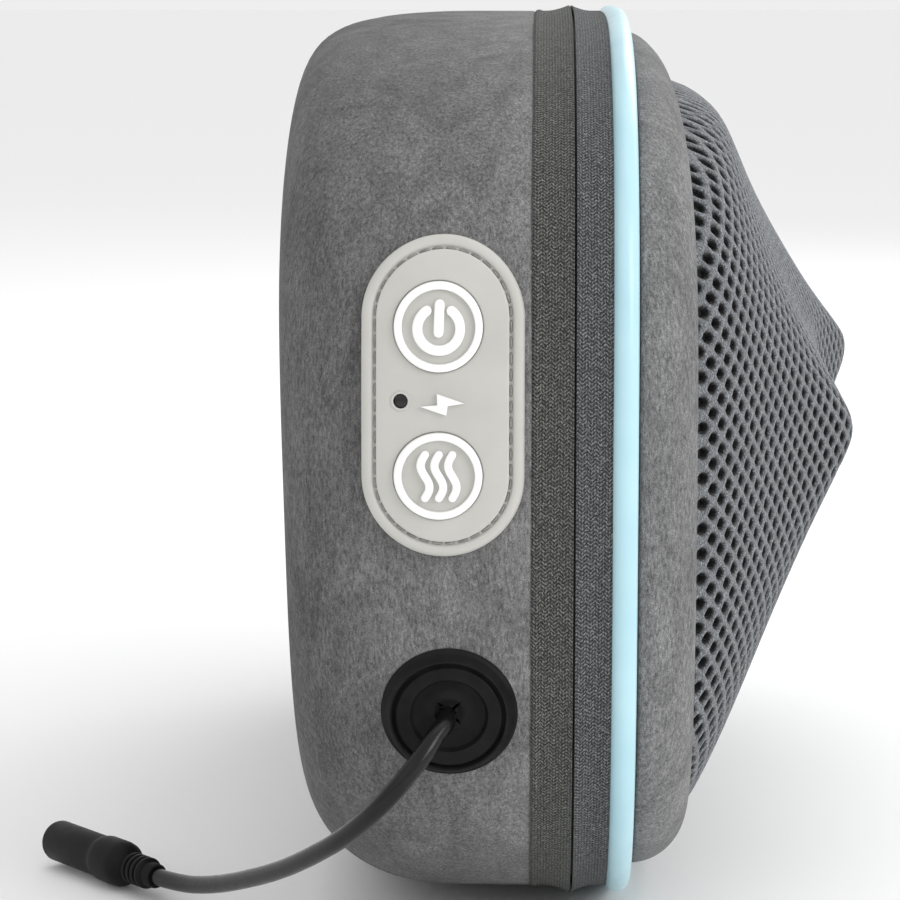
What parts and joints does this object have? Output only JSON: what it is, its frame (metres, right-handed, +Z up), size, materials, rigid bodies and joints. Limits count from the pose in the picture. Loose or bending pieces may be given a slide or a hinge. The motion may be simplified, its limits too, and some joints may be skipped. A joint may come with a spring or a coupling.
{
  "type": "shiatsu neck massager",
  "caption": "Pillow-shaped shiatsu neck massager: zipped suede case with light piping, domed mesh front, end control pad, grommet with charging lead, and geared kneading heads inside.",
  "frame": {"origin": "centre of the footprint on the surface it stands on, without the charging lead", "axes": "+X out through the mesh front, +Y along the length away from the control end, +Z up; it stands on one long side"},
  "size_m": [0.1926, 0.3409, 0.1964],
  "materials": {
    "suede": "short-nap suede over a firm shell",
    "zip_tape": "woven twill tape",
    "zip_teeth": "nylon coil",
    "zip_metal": "dark coated zinc",
    "piping": "smooth satin light blue",
    "spacer_mesh": "open knitted spacer mesh",
    "lining": "thin black lining over foam",
    "foam": "open-cell foam",
    "pad_silicone": "satin silicone",
    "mark_white": "satin silicone",
    "led_window": "dark smoked window",
    "circuit_board": "solder mask",
    "black_plastic": "moulded",
    "grey_plastic": "moulded",
    "white_plastic": "moulded acetal",
    "black_rubber": "matte moulded rubber",
    "cable_jacket": "glossy cable jacket",
    "head_rubber": "moulded",
    "steel": "brushed",
    "brass": "turned",
    "cell_wrap": "heat-shrink sleeve"
  },
  "bodies": {
    "case": {"rear_shell": "suede", "front_rim": "suede", "zipper_tape_rear": "zip_tape", "zipper_tape_front": "zip_tape", "zipper_coil": "zip_teeth", "piping": "piping", "mesh_cover": "spacer_mesh", "cover_lining": "lining", "back_foam": "foam", "control_pad": "pad_silicone", "charge_mark": "mark_white", "led_lens": "led_window", "key_board": "circuit_board", "main_board": "circuit_board", "left_heat_board": "circuit_board", "right_heat_board": "circuit_board", "power_switch": "black_plastic", "heat_switch": "black_plastic", "chassis_plate": "black_plastic", "battery_tray": "black_plastic", "gearbox_cover": "grey_plastic", "cable_grommet": "black_rubber", "grommet_iris": "black_rubber", "dc_jack_body": "black_rubber", "dc_cable": "cable_jacket", "dc_jack_pin": "steel", "cover_screw_1": "steel", "cover_screw_2": "steel", "cover_screw_3": "steel", "cover_screw_4": "steel", "motor_can": "steel", "left_bush": "brass", "right_bush": "brass", "battery_cell_1": "cell_wrap", "battery_cell_2": "cell_wrap"},
    "power_key": {"power_key": "pad_silicone", "power_ring": "mark_white", "power_arc": "mark_white", "power_bar": "mark_white"},
    "heat_key": {"heat_key": "pad_silicone", "heat_ring": "mark_white", "heat_wave_left": "mark_white", "heat_wave_middle": "mark_white", "heat_wave_right": "mark_white"},
    "zipper_slider": {"zipper_slider": "zip_metal"},
    "zipper_pull": {"zipper_pull": "zip_metal"},
    "left_rotor": {"left_axle": "steel", "left_worm_wheel": "white_plastic", "left_rotor_plate": "white_plastic", "left_upper_head": "head_rubber", "left_lower_head": "head_rubber"},
    "right_rotor": {"right_axle": "steel", "right_worm_wheel": "white_plastic", "right_rotor_plate": "white_plastic", "right_upper_head": "head_rubber", "right_lower_head": "head_rubber"},
    "worm_shaft": {"left_worm": "brass", "right_worm": "brass"}
  },
  "joints": [
    {"name": "power_key_press", "type": "slide", "parent": "case", "child": "power_key", "axis": [0, 1, 0], "range_m": [0, 0.001], "stiffness_N_per_m": 600, "springref_m": -0.0006},
    {"name": "heat_key_press", "type": "slide", "parent": "case", "child": "heat_key", "axis": [0, 1, 0], "range_m": [0, 0.001], "stiffness_N_per_m": 600, "springref_m": -0.0006},
    {"name": "zipper_run", "type": "slide", "parent": "case", "child": "zipper_slider", "axis": [0, 0, 1], "range_m": [-0.04, 0.012]},
    {"name": "zipper_pull_swing", "type": "hinge", "parent": "zipper_slider", "child": "zipper_pull", "pos_m": [-0.0051, 0.1671, 0.1144], "axis": [1, 0, 0], "range_deg": [0, 150]},
    {"name": "left_rotor_turn", "type": "hinge", "parent": "case", "child": "left_rotor", "pos_m": [-0.004, -0.052, 0.097], "axis": [1, 0, 0], "continuous": true},
    {"name": "right_rotor_turn", "type": "hinge", "parent": "case", "child": "right_rotor", "pos_m": [-0.004, 0.052, 0.097], "axis": [1, 0, 0], "continuous": true},
    {"name": "worm_turn", "type": "hinge", "parent": "case", "child": "worm_shaft", "pos_m": [-0.004, 0, 0.068], "axis": [0, 1, 0], "continuous": true}
  ],
  "couplings": [
    {"joint": "right_rotor_turn", "follows": "left_rotor_turn", "ratio": -1},
    {"joint": "worm_turn", "follows": "left_rotor_turn", "ratio": -30}
  ]
}
